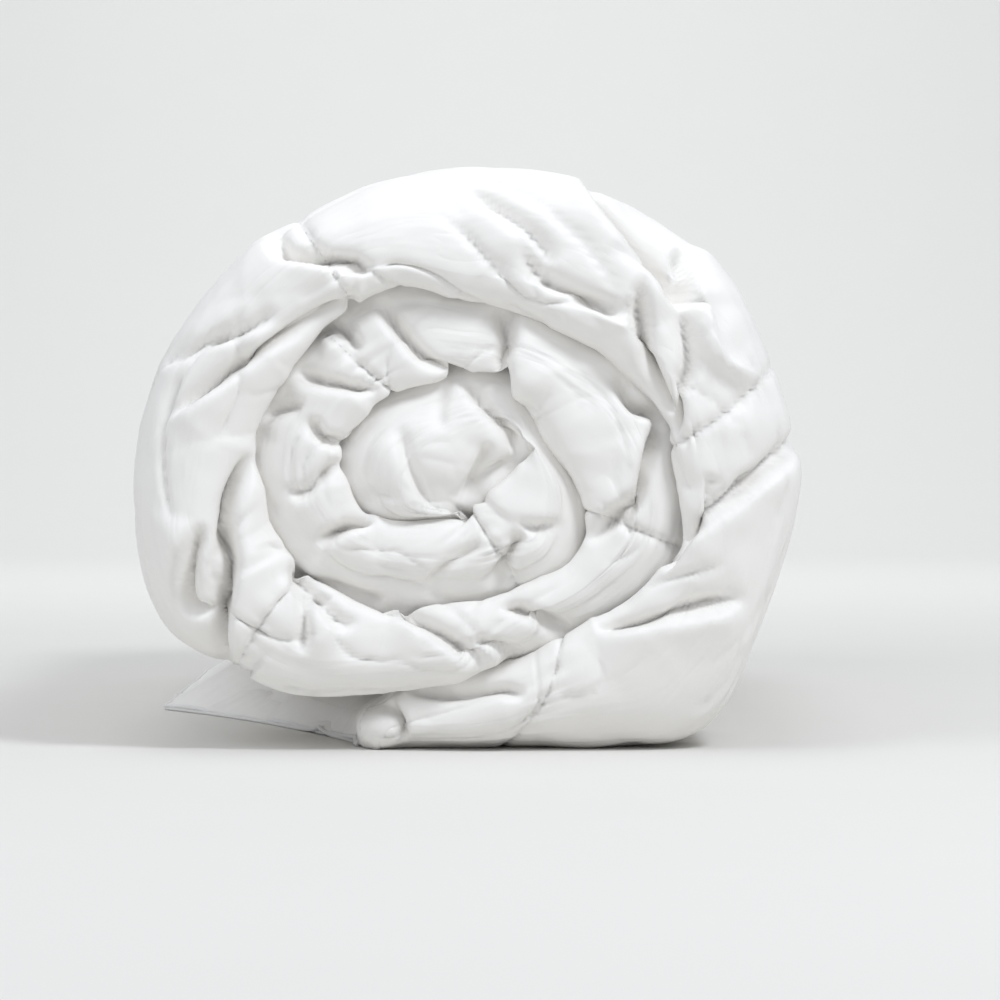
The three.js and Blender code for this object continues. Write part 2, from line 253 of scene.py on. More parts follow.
# How the fold's face stands at some windings: (k, lean, set back). Lean says where across the strip its
# foremost line is, from -1 to 1 like the side, and set back is how far behind the roll's front that line is.
FACE = np.array([
    (-0.2, 0.0, 26), (0.6, 0.1, 20), (1.2, 0.1, 6), (2, -0.3, 0), (3, -0.5, 3), (4, -0.5, 2), (5, -0.55, 2),
    (6, -0.4, 3), (7, -0.1, 2), (8, 0.1, 3), (9, 0.2, 4), (10, 0.2, 9), (11, 0.3, 10), (12, 0.0, 12),
    (13, -0.3, 12), (14, -0.3, 11), (15, -0.2, 9), (16, 0.0, 7), (17, 0.1, 7), (18, 0.4, 6), (19, 0.4, 8),
    (20, 0.0, 13), (21, 0.0, 13), (22, 0.1, 8), (24, 0.1, 8), (26, 0, 16),
])
ROUND = 0.9  # 1 makes the fold's section an ellipse, and less makes it squarer: on the roll's outside
SQUARE = 0.55  # and elsewhere
TURN_GAP = 0.985  # share of the strip's thickness that is left where turns touch
HEM_SIDE = 0.5  # side at which an arm ends at its hem, where the lining meets it
LIP_OVERHANG = 0.06  # how far the inner lip bulges over the next turn, as a share of half the thickness
HEM_SET_BACK = 26.0  # how much further back the face is at a hem


def spaced(start, end, step):
    """Values from start to just before end, about a step apart."""
    return np.linspace(start, end, max(1, round(abs(end - start) / step)), endpoint=False)


def cover_rows():
    """For each row the angle round the fold, 0 on the outer arm and pi on the inner arm, and the depth."""
    at_seams = [seam + step for seam in LONG_SEAMS for step in (-SEAM_ROW_STEP, 0, SEAM_ROW_STEP)]
    outer_arm = np.sort(np.concatenate([*(spaced(*stretch) for stretch in OUTER_ARM_ROWS), at_seams]))[::-1]
    inner_arm = np.concatenate([*(spaced(*stretch) for stretch in INNER_ARM_ROWS), [BACK]])[1:]
    angle = np.concatenate([
        np.zeros(len(outer_arm)), np.linspace(0, math.pi, FOLD_ROWS), np.full(len(inner_arm), math.pi),
    ])
    depth = np.concatenate([outer_arm, np.full(FOLD_ROWS, FOLD), inner_arm])
    return angle, depth


def cover_grid():
    """The cover's points before it is quilted and creased, with the winding and the side of each."""
    k = np.interp(np.linspace(0, RUN_TABLE[-1], COLUMNS), RUN_TABLE, K_TABLE)
    angle, depth = cover_rows()
    k, depth = np.meshgrid(k, depth, indexing="ij")
    section = Section(k, depth)
    lean = np.interp(section.k, FACE[:, 0], FACE[:, 1])
    set_back = np.interp(section.k, FACE[:, 0], FACE[:, 2]) + HEM_SET_BACK * (1 - section.fullness)
    across = np.cos(angle)
    overhang = LIP_OVERHANG * np.sin(2 * angle) ** 2 * (across < 0)
    side = across + lean * (1 - np.abs(across)) - overhang
    side = side * (HEM_SIDE + (1 - HEM_SIDE) * section.fullness) * TURN_GAP
    outside = (across > 0) & (section.k < STEPS_PER_TURN)
    forward = np.sin(angle) ** np.where(outside, ROUND, SQUARE)
    return section.point(depth - (FOLD - set_back) * forward, side), section.k, side


def grid_normals(points):
    """Unit normals of a grid of points, facing out of the cover."""
    return unit(np.cross(np.gradient(points, axis=0), np.gradient(points, axis=1)))


def smoothed(grid, along, across):
    """A grid averaged with its neighbours, a number of times along the strip and across it."""
    for axis in [0] * along + [1] * across:
        count = grid.shape[axis]
        before = grid.take(np.maximum(np.arange(count) - 1, 0), axis)
        after = grid.take(np.minimum(np.arange(count) + 1, count - 1), axis)
        grid = (before + 2 * grid + after) / 4
    return grid


def soft_noise(u, v, wavelengths, seed, waves=24):
    """Smooth noise of about unit size over the plane (u, v), with its wavelengths along u and v."""
    rng = np.random.default_rng(seed)
    total = np.zeros(np.broadcast(u, v).shape)
    for _ in range(waves):
        way = rng.uniform(0, 2 * math.pi)
        turn_u, turn_v = np.array([math.cos(way), math.sin(way)]) * 2 * math.pi / np.array(wavelengths)
        total += np.sin(turn_u * u + turn_v * v + rng.uniform(0, 2 * math.pi))
    return total / math.sqrt(waves / 2)


# --- Quilting ---
# The cross seams: k on the outer arm, and k on the inner arm.
CROSS_SEAMS = [
    (1.15, 1.66), (3.38, 3.07), (5.78, 5.8), (7.96, 7.74), (10.5, 10.5), (14.07, 14.07), (17.5, 17.5),
]
PUFF = 8.0  # how far a box stands above its seams
PUFF_REACH = 60.0  # distance from a seam at which it is full
FACE_TAUTNESS = 0.75  # share of the puff that the tighter cloth of the fold's face lacks
LIP_TAUTNESS = 0.7  # and of what is left there, the share that the inner lip lacks
LIP_SIDES = (0.2, 0.9)  # how far towards the inner arm that starts, and is complete
SEAM_DEPTH = 1.6  # of the narrow valley along a seam
SEAM_WIDTH = 3.0
ARM_WIDENING = 1.4  # how much wider and deeper that valley is on the arms
GATHERS = [(9, 0.9, 9), (36, 2.2, 24)]  # along a seam: (wavelength, height, reach)
FINE_REACH = 10  # gathers that reach further than this fade where the cloth is taut
GATHER_DRIFT = 2  # radians by which gathers come early or late
DRIFT_REACH = 4  # wavelengths along the seam over which that changes


def seam_winding(seam, side):
    """k of a cross seam at a side of the strip."""
    on_outer, on_inner = seam
    return on_outer + (on_inner - on_outer) * (1 - side) / 2


def box_fullness(distance):
    """How full a box is at a distance from its seam."""
    return np.sqrt(1 - (1 - np.minimum(distance / PUFF_REACH, 1)) ** 2)


def quilting(k, side, depth, across):
    """How far the stitching pulls the cover in. Across is the distance across the strip."""
    to_cross = np.min([abs(run_of(k) - run_of(seam_winding(s, side))) for s in CROSS_SEAMS], axis=0)
    to_long = np.min([abs(depth - seam) for seam in LONG_SEAMS], axis=0)
    plump = 1 - FACE_TAUTNESS * rise(depth, 1.5 * FOLD, 0.5 * FOLD)
    plump *= 1 - LIP_TAUTNESS * rise(-side, *LIP_SIDES) * (k < HEAD)
    fullness = box_fullness(to_cross) * np.maximum(box_fullness(to_long), rise(depth, FOLD, 0))
    pulled = PUFF * plump * (1 - fullness)
    widening = 1 + ARM_WIDENING * rise(depth, FOLD, 2 * FOLD)
    for distance, along in ((to_cross, across), (to_long, run_of(k))):
        pulled += SEAM_DEPTH * widening * np.exp(-distance / (SEAM_WIDTH * widening))
        for wavelength, height, reach in GATHERS:
            uneven = soft_noise(along, 0, (DRIFT_REACH * wavelength, DRIFT_REACH * wavelength), wavelength)
            gathers = height * np.cos(2 * math.pi * along / wavelength + GATHER_DRIFT * uneven)
            pulled += gathers * np.exp(-distance / reach) * (plump if reach > FINE_REACH else 1)
    return pulled


# --- Creases and hollows ---
# The stretches of the strip that a crease can lie in, by k.
TURNS = {"outer": (-1, 8.4), "second": (7.6, 16.3), "band": (15.4, 18.8), "core": (18.0, 26.0)}
# Creases in the front of the roll: points (x, z), depth, and widths left and right of the way along.
CREASES = {
    "outer": [
        ([(-117, 140), (-112, 126), (-102, 123), (-76, 119), (-57, 113)], 10, 9, 3),
        ([(-64, 99), (-80, 92), (-105, 77), (-141, 54), (-181, 26)], 9, 3, 12),
        ([(-187, 57), (-157, 71), (-138, 77), (-112, 90)], 6, 14, 4),
        ([(-130, 5), (-143, -23), (-145, -47), (-142, -62), (-148, -101), (-145, -130)], 13, 4, 7),
        ([(-159, -38), (-166, -60), (-168, -80), (-161, -90), (-150, -86)], 8, 4, 3),
        ([(72, 175), (82, 156), (109, 125), (131, 91)], 15, 13, 3),
        ([(133, 133), (133, 111), (131, 91)], 9, 3, 8),
        ([(135, 122), (137, 98), (146, 66), (163, 50), (178, 48)], -6, 14, 10),
        ([(130, 95), (135, 62), (129, 39), (127, 12)], 6, 3, 7),
        ([(102, 108), (105, 81), (111, 54), (124, 25)], 11, 6, 4),
        ([(-2, 164), (20, 151), (40, 134), (55, 113)], 6, 12, 4),
        ([(30, 129), (44, 111), (69, 97), (103, 84)], 8, 8, 8),
        ([(205, 17), (189, -1), (162, -21), (137, -42), (119, -69)], 9, 3, 16),
        ([(151, -7), (145, -23), (137, -43)], 5, 3, 6),
        ([(77, -102), (106, -97), (137, -90), (169, -84)], 9, 20, 4),
        ([(188, -1), (196, 7), (203, 15)], 5, 5, 5),
        ([(-36, -141), (-10, -143), (20, -139), (36, -143)], 6, 5, 5),
        ([(-48, -148), (-40, -158), (-38, -170)], 6, 3, 4),
    ],
    "second": [
        ([(-93, 79), (-82, 81), (-72, 75), (-66, 65)], 7, 5, 4),
        ([(-55, 97), (-39, 76), (-24, 60), (2, 49)], 8, 8, 4),
        ([(22, 95), (25, 73), (22, 58), (27, 34)], 8, 4, 8),
        ([(90, 52), (99, 33), (116, 25), (109, 1), (103, -22), (88, -35), (73, -50)], 9, 6, 3),
        ([(-106, 54), (-84, 47), (-54, 42)], 7, 5, 5),
        ([(-126, 25), (-113, 31), (-99, 33)], 5, 4, 4),
        ([(-95, 25), (-88, 14), (-74, 10)], 6, 4, 4),
        ([(-110, -18), (-99, -20), (-88, -10), (-78, 0)], 5, 4, 4),
        ([(-44, -86), (-17, -105), (12, -125)], 9, 12, 3),
        ([(20, -88), (39, -93), (62, -105)], 7, 5, 4),
        ([(2, -108), (15, -111), (31, -117)], 5, 4, 4),
        ([(-107, -63), (-99, -86), (-97, -117)], 6, 4, 5),
        ([(-106, -65), (-92, -84), (-78, -98), (-66, -101)], 6, 4, 4),
        ([(-103, -69), (-72, -81), (-41, -93), (-9, -107)], 5, 5, 5),
    ],
    "band": [
        ([(-90, -52), (-74, -41), (-57, -37)], 9, 6, 3),
        ([(34, -42), (25, -60), (16, -79)], 6, 3, 7),
        ([(12, -48), (-10, -62), (-26, -78)], 3, 5, 5),
    ],
    "core": [
        ([(-2, 47), (14, 30), (25, 16), (30, 2)], 9, 9, 3),
        ([(31, 2), (14, -7), (-8, -25)], 8, 4, 3),
        ([(-9, -26), (12, -39), (61, -40)], 4, 3, 6),
        ([(14, 10), (4, -11), (-1, -22)], 7, 4, 5),
        ([(-41, 20), (-34, -6), (-20, -31)], 5, 8, 3),
        ([(-65, -24), (-52, -22), (-40, -22)], 3, 4, 3),
        ([(-12, 47), (-16, 30), (-14, 16)], 3, 3, 7),
    ],
}
CREASE_STRENGTH = 1.05
CREASE_WIDTH = 0.62  # scales the widths
CREASE_REACH = 50.0  # depth to which a crease stays full, and the distance over which it then fades
CREASE_END = 0.25  # share of a crease's length over which it deepens at each end
CUT = 0.9  # extra depth of a crease's sharp bottom, as a share of its depth
CUT_WIDTH = 2.4
LIP_HEIGHT = 0.45  # of a crease's proud lip on its narrow side, as a share of its depth
LIP_WIDTH = 9.0
CREASE_POINTS = 24  # along a crease's line
GUIDE_STEPS = 12  # for each point it is given by
MARGIN = 4  # widths from a crease beyond which it is not felt

# Broad rises and hollows there: centre (x, z), half length, half width, slope in degrees, rise.
MOUNDS = {
    "outer": [
        ((113, 133), 30, 18, -60, -12),
        ((165, 85), 45, 22, -60, 6),
        ((-165, -40), 60, 20, 85, 5),
        ((-56, -164), 14, 12, 0, 9),
    ],
    "second": [
        ((55, 20), 45, 25, -70, 6),
        ((-95, -100), 45, 20, -40, 5),
    ],
    "band": [],
    "core": [((-30, 0), 25, 25, 0, 6)],
}


def crease_profile(places, points, left, right):
    """How strongly a crease acts at each place: 1 on its line, less than 0 on its proud lip, 0 far away."""
    guide = np.array(points, dtype=float)
    at = np.linspace(0, len(guide) - 1, GUIDE_STEPS * len(guide))
    curve = evenly(np.stack([smooth_through(column, at) for column in guide.T], axis=1), CREASE_POINTS)
    nearest = np.full(len(places), np.inf)
    along = np.zeros(len(places))
    handed = np.zeros(len(places))
    for i, (start, end) in enumerate(zip(curve[:-1], curve[1:])):
        way = end - start
        share = np.clip(((places - start) @ way) / (way @ way), 0, 1)
        off = places - (start + share[:, None] * way)
        distance = np.hypot(off[:, 0], off[:, 1])
        nearer = distance < nearest
        nearest[nearer] = distance[nearer]
        along[nearer] = (i + share[nearer]) / (len(curve) - 1)
        handed[nearer] = np.sign(way[0] * off[nearer, 1] - way[1] * off[nearer, 0])
    on_left = handed > 0
    profile = np.exp(-nearest / (CREASE_WIDTH * np.where(on_left, left, right)))
    profile += CUT * np.exp(-nearest / CUT_WIDTH)
    narrow_side = on_left if left < right else ~on_left
    lip = nearest / LIP_WIDTH
    profile -= np.where(narrow_side, LIP_HEIGHT * lip * np.exp(1 - lip), 0)
    ends = np.minimum(1, np.minimum(along, 1 - along) / CREASE_END)
    return profile * np.sin(ends * math.pi / 2)


def pressed_at(chosen, places, creases, shape):
    """How far creases press in a grid's chosen points, at their places. Where they meet, the deepest counts."""
    valleys = np.zeros(len(places))
    lips = np.zeros(len(places))
    for points, deep, left, right in creases:
        margin = MARGIN * max(left, right, LIP_WIDTH)
        low, high = np.min(points, axis=0) - margin, np.max(points, axis=0) + margin
        near = np.all((places > low) & (places < high), axis=1)
        effect = CREASE_STRENGTH * deep * crease_profile(places[near], points, left, right)
        valleys[near] = np.maximum(valleys[near], effect)
        lips[near] = np.minimum(lips[near], effect)
    pressed = np.zeros(shape)
    pressed[chosen] = valleys + lips
    return pressed


def front_creases(points, k):
    """How far the front's creases and hollows press each point of the grid in."""
    pressed = np.zeros(k.shape)
    for turn, (first, last) in TURNS.items():
        chosen = np.nonzero((k > first) & (k < last) & (points[..., 1] < 3 * CREASE_REACH))
        places = points[chosen][:, [0, 2]]
        pressed += pressed_at(chosen, places, CREASES[turn], k.shape)
        for centre, half_length, half_width, slope, height in MOUNDS[turn]:
            lean = math.radians(slope)
            off = places - np.array(centre)
            lengthwise = (off[:, 0] * math.cos(lean) + off[:, 1] * math.sin(lean)) / half_length
            crosswise = (off[:, 1] * math.cos(lean) - off[:, 0] * math.sin(lean)) / half_width
            pressed[chosen] -= height * np.exp(-(lengthwise**2) - crosswise**2)
    fading = np.maximum(points[..., 1] - CREASE_REACH, 0) / CREASE_REACH
    return pressed * np.exp(-(fading**2))


# The cloth's crumpling: (size, height, slant in radians, seed). Heights below 0 give ridges, not valleys.
CRUMPLES = [(90, 0.9, 0.5, 21), (120, -1.2, -0.6, 22)]
AVERAGE_CRUMPLE = 0.8
CRUMPLE_STRETCH = 3.0  # how much longer than wide its facets are


def crumpling(run, across):
    """Smooth facets that meet in crisp valleys and ridges."""
    total = np.zeros(run.shape)
    for size, height, slant, seed in CRUMPLES:
        u = run * math.cos(slant) + across * math.sin(slant)
        v = across * math.cos(slant) - run * math.sin(slant)
        total += height * (AVERAGE_CRUMPLE - abs(soft_noise(u, v, (size, CRUMPLE_STRETCH * size), seed)))
    return total


CREASE_SEED = 7
# Scattered creases: how many, how much their bearings differ in radians, and the longest, deepest and widest.
ARM_CREASES = {"count": 130, "spread": 0.65, "sizes": (150, 5.5, 12)}
FACE_CREASES = {"count": 120, "spread": 0.35, "sizes": (170, 1.9, 8)}
FLAP_CREASES = {"count": 70, "spread": 0.5, "sizes": (90, 6, 14)}
SHORTEST = 0.25  # and the shallowest, as a share of the longest and deepest
BEND = 0.12  # usual bend, as a share of the length
SEAM_EDGE = 6  # from a seam to where an arm's creases start
HEM_EDGE = 8  # from the foot hem to where the flap's creases start
ARM_FRONT = 60  # least depth of the start of an arm's crease
FACE_ANGLES = (0.3, 2.9)  # round the fold, between which the face's creases start
LIP_ANGLES = (2.2, 2.9)  # between which they fade towards the inner lip
LIP_SHARE = 0.25  # what is left of them there
INNER_SHARE = 0.4  # and what is left of them on the inner turns


def scattered_creases(rng, starts, bearings, sizes):
    """Slightly bent creases of random sizes from the given starts."""
    longest, deepest, widest = sizes
    creases = []
    for start, bearing in zip(starts, bearings):
        length = longest * rng.uniform(SHORTEST, 1)
        way = np.array([math.cos(bearing), math.sin(bearing)])
        bend = np.array([-way[1], way[0]]) * rng.normal(0, BEND) * length
        line = [start, start + way * length / 2 + bend, start + way * length]
        creases.append((line, deepest * rng.uniform(SHORTEST, 1), *rng.uniform(widest / 3, widest, 2)))
    return creases


def arm_creases(points, run, angle, k):
    """Soft creases all over the exposed outer arm. Each starts at a seam and runs away from it."""
    rng = np.random.default_rng(CREASE_SEED)
    seams = run_of(np.array([outer for outer, _ in CROSS_SEAMS[:4]]))
    count = ARM_CREASES["count"]
    away = rng.choice([-1, 1], count)
    starts_along = rng.choice(seams, count) + SEAM_EDGE * away
    starts = np.stack([starts_along, rng.uniform(ARM_FRONT, BACK, count)], axis=1)
    bearings = np.where(away > 0, 0, math.pi) + rng.normal(0, ARM_CREASES["spread"], count)
    creases = scattered_creases(rng, starts, bearings, ARM_CREASES["sizes"])
    chosen = np.nonzero((k < STEPS_PER_TURN + 0.3) & (angle == 0))
    places = np.stack([run[chosen], points[chosen][:, 1]], axis=1)
    return pressed_at(chosen, places, creases, run.shape) * rise(points[..., 1], FOLD, 2 * FOLD)


def flap_creases(points, run, angle, k):
    """Gathers that run in from the foot hem over the top of the flap."""
    rng = np.random.default_rng(CREASE_SEED)
    count = FLAP_CREASES["count"]
    depths = rng.uniform(FOLD, BACK, count)
    hem = np.interp(depths, [FOLD, CORNER_DEPTH], [HEM_AT_FOLD, HEM_AT_CORNER])
    starts = np.stack([run_of(hem) + HEM_EDGE, depths], axis=1)
    bearings = rng.normal(0, FLAP_CREASES["spread"], count)
    creases = scattered_creases(rng, starts, bearings, FLAP_CREASES["sizes"])
    chosen = np.nonzero((k < FLAP_BLEND) & (angle == math.pi))
    places = np.stack([run[chosen], points[chosen][:, 1]], axis=1)
    return pressed_at(chosen, places, creases, run.shape)


def face_creases(points, run, across, angle, k):
    """Fine creases over the fold, mostly along the strip."""
    rng = np.random.default_rng(CREASE_SEED)
    count = FACE_CREASES["count"]
    start_across = np.interp(rng.uniform(*FACE_ANGLES, count), angle[0], across)
    starts = np.stack([rng.uniform(0, RUN_TABLE[-1], count), start_across], axis=1)
    bearings = rng.choice([0, math.pi], count) + rng.normal(0, FACE_CREASES["spread"], count)
    creases = scattered_creases(rng, starts, bearings, FACE_CREASES["sizes"])
    chosen = np.nonzero(points[..., 1] < 2 * FOLD)
    places = np.stack([run[chosen], np.broadcast_to(across, run.shape)[chosen]], axis=1)
    pressed = pressed_at(chosen, places, creases, run.shape)
    inside = INNER_SHARE + (1 - INNER_SHARE) * rise(k, STEPS_PER_TURN + 0.6, STEPS_PER_TURN)
    at_lip = LIP_SHARE + (1 - LIP_SHARE) * rise(angle, *LIP_ANGLES[::-1])
    return pressed * rise(points[..., 1], 2 * FOLD, FOLD) * at_lip * inside


# --- Cloth ---
LOOSENESS = 0.012  # share by which the cloth is longer than the drawn shape, both ways
LIP_LOOSENESS = 0.01  # more of the same along the strip at the fold's inner lip, which has the tighter turn
CLOTH_NOISE = 0.6  # height of the uneven surface that the wrinkles start from
NOISE_WAVELENGTHS = (28, 80)  # its wavelengths along the strip and across it
NOISE_SEED = 11
PRESSURE = 0.03  # of the down, in millimetres a round
HOLD = 0.02  # share by which each point comes back towards the drawn shape in a round
MOST_DRIFT = 6.0  # of a point from the drawn shape, along each axis
ROUNDS = 70
LOOSE_LIP = (-0.2, 0.9)  # how far towards the inner arm the lip's looseness starts, and is complete
LOOSE_DEPTH = 1.2 * FOLD  # in front of this all cloth may move
ARM_COVERED = 8.2  # k from which the outer arm is covered, and may not
# Neighbours that the cloth holds apart: (columns away, rows away, stiffness).
TIES = [(1, 0, 0.5), (0, 1, 0.5), (1, 1, 0.2), (1, -1, 0.2), (3, 0, 0.1), (0, 3, 0.1)]


def tied(grid, columns, rows):
    """The parts of a grid whose points are that many columns and rows apart."""
    wide, tall = grid.shape[:2]
    down = max(-rows, 0)
    up = max(rows, 0)
    return grid[: wide - columns, down : tall - up], grid[columns:, up : tall - down]


def lengths(grid, columns, rows):
    """The distances between such points."""
    first, second = tied(grid, columns, rows)
    return np.linalg.norm(second - first, axis=-1, keepdims=True)


def as_cloth(points, side, run, across):
    """Lets the cover wrinkle as a slightly loose cloth would, held near its drawn shape."""
    drawn = points.astype(np.float32)
    lip = rise(-side, *LOOSE_LIP) * (drawn[..., 1] < FOLD) * (run < run_of(CORE_START))
    slack = 1 + LOOSENESS + LIP_LOOSENESS * lip
    slack = slack[..., None].astype(np.float32)
    rests = []
    for columns, rows, _ in TIES:
        loose = tied(slack, columns, rows)[0] if columns else 1 + LOOSENESS
        rests.append(lengths(drawn, columns, rows) * loose)
    exposed_arm = (side[..., None] > HEM_SIDE) & (run[..., None] < run_of(ARM_COVERED))
    free = (drawn[..., 1:2] < LOOSE_DEPTH) | exposed_arm
    noise = CLOTH_NOISE * soft_noise(run, across, NOISE_WAVELENGTHS, NOISE_SEED)
    cloth = drawn + (noise[..., None] * grid_normals(drawn) * free).astype(np.float32)
    for _ in range(ROUNDS):
        cloth += PRESSURE * grid_normals(cloth).astype(np.float32) * free
        moved = HOLD * (drawn - cloth)
        for (columns, rows, stiffness), rest in zip(TIES, rests):
            first, second = tied(cloth, columns, rows)
            gap = second - first
            pull = stiffness * 0.5 * (1 - rest / np.linalg.norm(gap, axis=-1, keepdims=True)) * gap
            moved_first, moved_second = tied(moved, columns, rows)
            moved_first += pull
            moved_second -= pull
        cloth += moved * free
        cloth = drawn + np.clip(cloth - drawn, -MOST_DRIFT, MOST_DRIFT)
    return cloth.astype(float)


# --- Meshes ---
def column_steps(depth):
    """For each row, how many columns apart the points are that its mesh keeps."""
    return np.where(depth < FINE_DEPTH, 1, np.where(depth < HALF_DEPTH, 2, 4))


def thinning_faces(columns, steps):
    """Faces of a grid whose rows keep every first, second or fourth column."""
    rows = len(steps)
    faces = []
    for row in range(rows - 1):
        wide = max(steps[row], steps[row + 1])
        for column in range(0, columns - 1, wide):
            here = range(column, column + wide + 1, steps[row])
            there = range(column + wide, column - 1, -steps[row + 1])
            faces.append([c * rows + row for c in here] + [c * rows + row + 1 for c in there])
    return faces


def make_mesh(name, points, faces, material, uv=None):
    """A smooth object from drawn points and faces, without the points that no face uses."""
    used = np.unique(np.concatenate([np.asarray(face) for face in faces]))
    new_index = np.zeros(len(points), dtype=int)
    new_index[used] = np.arange(len(used))
    faces = [[int(new_index[i]) for i in face] for face in faces]
    mesh = bpy.data.meshes.new(name)
    mesh.from_pydata(to_world(points[used]).tolist(), [], faces)
    mesh.polygons.foreach_set("use_smooth", [True] * len(mesh.polygons))
    corners = np.zeros(len(mesh.loops), dtype=int)
    mesh.loops.foreach_get("vertex_index", corners)
    flat = points[:, :2] if uv is None else uv
    mesh.uv_layers.new(name="cloth").data.foreach_set("uv", (flat[used][corners] * MM).ravel())
    mesh.materials.append(material)
    obj = bpy.data.objects.new(name, mesh)
    bpy.context.scene.collection.objects.link(obj)
    return obj


def belongs(obj, slot, *nodes):
    """Says what the piece rides on and the CAD nodes that it stands for. The slot is not used."""
    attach(obj, "root")
    if nodes:
        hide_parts(*nodes)
    return obj


def grid_faces(columns, rows, round_rows=False):
    """Quads of a plain grid. With round_rows the last row joins the first."""
    last = rows if round_rows else rows - 1
    corner = [(i * rows, j, (j + 1) % rows) for i in range(columns - 1) for j in range(last)]
    return [[a + j, a + n, a + rows + n, a + rows + j] for a, j, n in corner]


def make_closed_body(name, rings, material):
    """A closed body through rings of points."""
    count, size = rings.shape[:2]
    caps = [list(range(size)), list(range(count * size - 1, (count - 1) * size - 1, -1))]
    return make_mesh(name, rings.reshape(-1, 3), grid_faces(count, size, True) + caps, material)


ASKEW = np.array([0.31, 0.52, 0.79])  # a direction that no tube runs along


def make_tube(name, path, radius, material, sides=8):
    """A round tube along a path."""
    ahead = unit(np.gradient(path, axis=0))
    up = unit(np.cross(ahead, ASKEW))
    beside = np.cross(ahead, up)
    angles = np.linspace(0, 2 * math.pi, sides, endpoint=False)
    rings = [path + radius * (up * math.cos(a) + beside * math.sin(a)) for a in angles]
    return make_closed_body(name, np.stack(rings, axis=1), material)


# --- Materials ---
def add_node(tree, kind, inputs=(), **settings):
    """A node with its inputs set or linked, in their order."""
    node = tree.nodes.new(kind)
    for key, value in settings.items():
        setattr(node, key, value)
    for socket, value in dict(inputs).items():
        if isinstance(value, bpy.types.NodeSocket):
            tree.links.new(value, node.inputs[socket])
        else:
            node.inputs[socket].default_value = value
    return node


def calculate(tree, operation, *inputs):
    """The result of a math node."""
    return add_node(tree, "ShaderNodeMath", dict(enumerate(inputs)), operation=operation).outputs[0]


THREADS = 2 * math.pi / 0.0007  # radians a metre: one over and one under every 0.7 mm
CRINKLES_A_METRE = (12, 55, 1)  # along the strip and across it
BLOTCHES_A_METRE = 9
ROUGHNESS_RANGE = 0.06  # either way
WEAVE_STRENGTH = 0.5
CRINKLE_STRENGTH = 0.6
SHEEN_ROUGHNESS = 0.35


def fabric(name, color, shade, roughness, sheen, weave_height, crinkle_height):
    """Woven cotton: threads both ways, faint crinkles, and slow changes in colour and roughness."""
    material = bpy.data.materials.new(name)
    material.use_nodes = True
    tree = material.node_tree
    shader = tree.nodes["Principled BSDF"]
    uv = add_node(tree, "ShaderNodeUVMap", uv_map="cloth").outputs["UV"]
    place = add_node(tree, "ShaderNodeTexCoord").outputs["Object"]
    apart = add_node(tree, "ShaderNodeSeparateXYZ", {0: uv})
    turns = [calculate(tree, "MULTIPLY", apart.outputs[axis], THREADS) for axis in ("X", "Y")]
    weave = calculate(tree, "MULTIPLY", *[calculate(tree, "SINE", turn) for turn in turns])
    stretched = add_node(tree, "ShaderNodeMapping", {"Vector": uv, "Scale": CRINKLES_A_METRE}).outputs[0]
    uneven = add_node(tree, "ShaderNodeTexNoise", {"Vector": stretched, "Scale": 1, "Detail": 2})
    crinkles = calculate(tree, "ABSOLUTE", calculate(tree, "SUBTRACT", uneven.outputs["Fac"], 0.5))
    blotches = add_node(tree, "ShaderNodeTexNoise", {"Vector": place, "Scale": BLOTCHES_A_METRE, "Detail": 4})
    slow = blotches.outputs["Fac"]

    woven = add_node(
        tree, "ShaderNodeBump", {"Height": weave, "Distance": weave_height, "Strength": WEAVE_STRENGTH},
    ).outputs[0]
    crinkled = add_node(
        tree, "ShaderNodeBump",
        {"Height": crinkles, "Distance": crinkle_height, "Strength": CRINKLE_STRENGTH, "Normal": woven},
    )
    tint = add_node(tree, "ShaderNodeMix", data_type="RGBA")
    tree.links.new(slow, tint.inputs["Factor"])
    tint.inputs[6].default_value = (*color, 1)
    tint.inputs[7].default_value = (*shade, 1)
    rough = add_node(
        tree, "ShaderNodeMapRange",
        {"Value": slow, "To Min": roughness - ROUGHNESS_RANGE, "To Max": roughness + ROUGHNESS_RANGE},
    )
    tree.links.new(tint.outputs[2], shader.inputs["Base Color"])
    tree.links.new(rough.outputs[0], shader.inputs["Roughness"])
    tree.links.new(crinkled.outputs[0], shader.inputs["Normal"])
    shader.inputs["Sheen Weight"].default_value = sheen
    shader.inputs["Sheen Roughness"].default_value = SHEEN_ROUGHNESS
    return material


# For each slot: name, colour, shade, roughness, sheen, height of the weave and of the crinkles in metres.
FABRICS = {
    "cover": ("percale", (0.92, 0.9, 0.868), (0.9, 0.88, 0.848), 0.45, 0.05, 0.00006, 0.004),
    "piping": ("binding", (0.87, 0.86, 0.845), (0.84, 0.83, 0.815), 0.6, 0.1, 0.00012, 0.0005),
    "tape": ("baffle", (0.86, 0.85, 0.83), (0.83, 0.82, 0.80), 0.7, 0.1, 0.0001, 0.0002),
    "down": ("down", (0.87, 0.86, 0.84), (0.80, 0.79, 0.77), 0.95, 0.4, 0.0, 0.0015),
}
BACKDROP_PAPER = ("paper", (0.755, 0.738, 0.704), (0.745, 0.728, 0.694), 0.9, 0.0, 0.0, 0.0001)


